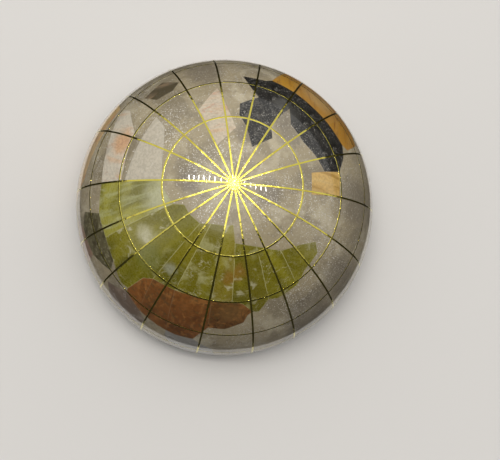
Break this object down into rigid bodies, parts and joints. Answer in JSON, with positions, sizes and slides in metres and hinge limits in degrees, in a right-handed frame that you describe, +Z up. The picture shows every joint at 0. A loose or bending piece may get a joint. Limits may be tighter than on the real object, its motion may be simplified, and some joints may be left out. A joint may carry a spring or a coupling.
{
  "type": "paperweight",
  "caption": "Half-globe paperweight inlaid with stone slabs and a glittering pearly ocean, crossed by thin metal meridian and parallel wires, on a flat felt underside.",
  "frame": {"origin": "centre of the underside, on the surface it rests on", "axes": "+Z up through the globe's pole; +X to the right and +Y to the far side when East Asia is nearest; longitude 0 runs 156.5 degrees counterclockwise from +X"},
  "size_m": [0.08, 0.08, 0.0413],
  "materials": {
    "felt": "short pile felt, matt",
    "core": "cast stone, matt, hidden by the inlay",
    "ocean": "crushed shell and silver glitter in clear resin, polished under clear lacquer",
    "stone_greenland": "polished stone slab under clear lacquer",
    "stone_small_island": "polished stone slab under clear lacquer",
    "stone_scandinavia": "polished stone slab under clear lacquer",
    "stone_west_europe": "polished stone slab under clear lacquer",
    "stone_west_africa": "polished stone slab under clear lacquer",
    "stone_east_africa": "polished stone slab under clear lacquer",
    "stone_arabia": "polished stone slab under clear lacquer",
    "stone_persia": "polished stone slab under clear lacquer",
    "stone_jade_1": "polished stone slab under clear lacquer",
    "stone_jade_2": "polished stone slab under clear lacquer",
    "stone_jade_3": "polished stone slab under clear lacquer",
    "stone_jade_4": "polished stone slab under clear lacquer",
    "stone_jade_5": "polished stone slab under clear lacquer",
    "stone_jade_6": "polished stone slab under clear lacquer",
    "stone_jade_7": "polished stone slab under clear lacquer",
    "stone_jade_8": "polished stone slab under clear lacquer",
    "stone_jade_9": "polished stone slab under clear lacquer",
    "stone_jasper_1": "polished stone slab under clear lacquer",
    "stone_jasper_2": "polished stone slab under clear lacquer",
    "stone_jasper_3": "polished stone slab under clear lacquer",
    "stone_jasper_4": "polished stone slab under clear lacquer",
    "stone_india": "polished stone slab under clear lacquer",
    "stone_indochina": "polished stone slab under clear lacquer",
    "stone_alaska": "polished stone slab under clear lacquer",
    "stone_canada_1": "polished stone slab under clear lacquer",
    "stone_canada_2": "polished stone slab under clear lacquer",
    "stone_canada_3": "polished stone slab under clear lacquer",
    "stone_canada_4": "polished stone slab under clear lacquer",
    "stone_calcite_1": "polished stone slab under clear lacquer",
    "stone_calcite_2": "polished stone slab under clear lacquer",
    "stone_calcite_3": "polished stone slab under clear lacquer",
    "stone_mexico": "polished stone slab under clear lacquer",
    "stone_south_america": "polished stone slab under clear lacquer",
    "wire": "polished flat wire under clear lacquer"
  },
  "bodies": {
    "root": {"felt_pad": "felt", "core_dome": "core", "ocean_filling": "ocean", "slab_greenland": "stone_greenland", "slab_small_island": "stone_small_island", "slab_scandinavia": "stone_scandinavia", "slab_west_europe": "stone_west_europe", "slab_west_africa": "stone_west_africa", "slab_east_africa": "stone_east_africa", "slab_arabia": "stone_arabia", "slab_persia": "stone_persia", "slab_jade_1": "stone_jade_1", "slab_jade_2": "stone_jade_2", "slab_jade_3": "stone_jade_3", "slab_jade_4": "stone_jade_4", "slab_jade_5": "stone_jade_5", "slab_jade_6": "stone_jade_6", "slab_jade_7": "stone_jade_7", "slab_jade_8": "stone_jade_8", "slab_jade_9": "stone_jade_9", "slab_jasper_1": "stone_jasper_1", "slab_jasper_2": "stone_jasper_2", "slab_jasper_3": "stone_jasper_3", "slab_jasper_4": "stone_jasper_4", "slab_india": "stone_india", "slab_indochina": "stone_indochina", "slab_alaska": "stone_alaska", "slab_canada_1": "stone_canada_1", "slab_canada_2": "stone_canada_2", "slab_canada_3": "stone_canada_3", "slab_canada_4": "stone_canada_4", "slab_calcite_1": "stone_calcite_1", "slab_calcite_2": "stone_calcite_2", "slab_calcite_3": "stone_calcite_3", "slab_mexico": "stone_mexico", "slab_south_america": "stone_south_america", "wire_meridian_01": "wire", "wire_meridian_02": "wire", "wire_meridian_03": "wire", "wire_meridian_04": "wire", "wire_meridian_05": "wire", "wire_meridian_06": "wire", "wire_meridian_07": "wire", "wire_meridian_08": "wire", "wire_meridian_09": "wire", "wire_meridian_10": "wire", "wire_meridian_11": "wire", "wire_meridian_12": "wire", "wire_meridian_13": "wire", "wire_meridian_14": "wire", "wire_meridian_15": "wire", "wire_meridian_16": "wire", "wire_meridian_17": "wire", "wire_meridian_18": "wire", "wire_parallel_1": "wire", "wire_parallel_2": "wire", "wire_parallel_3": "wire", "wire_parallel_4": "wire"}
  },
  "joints": []
}
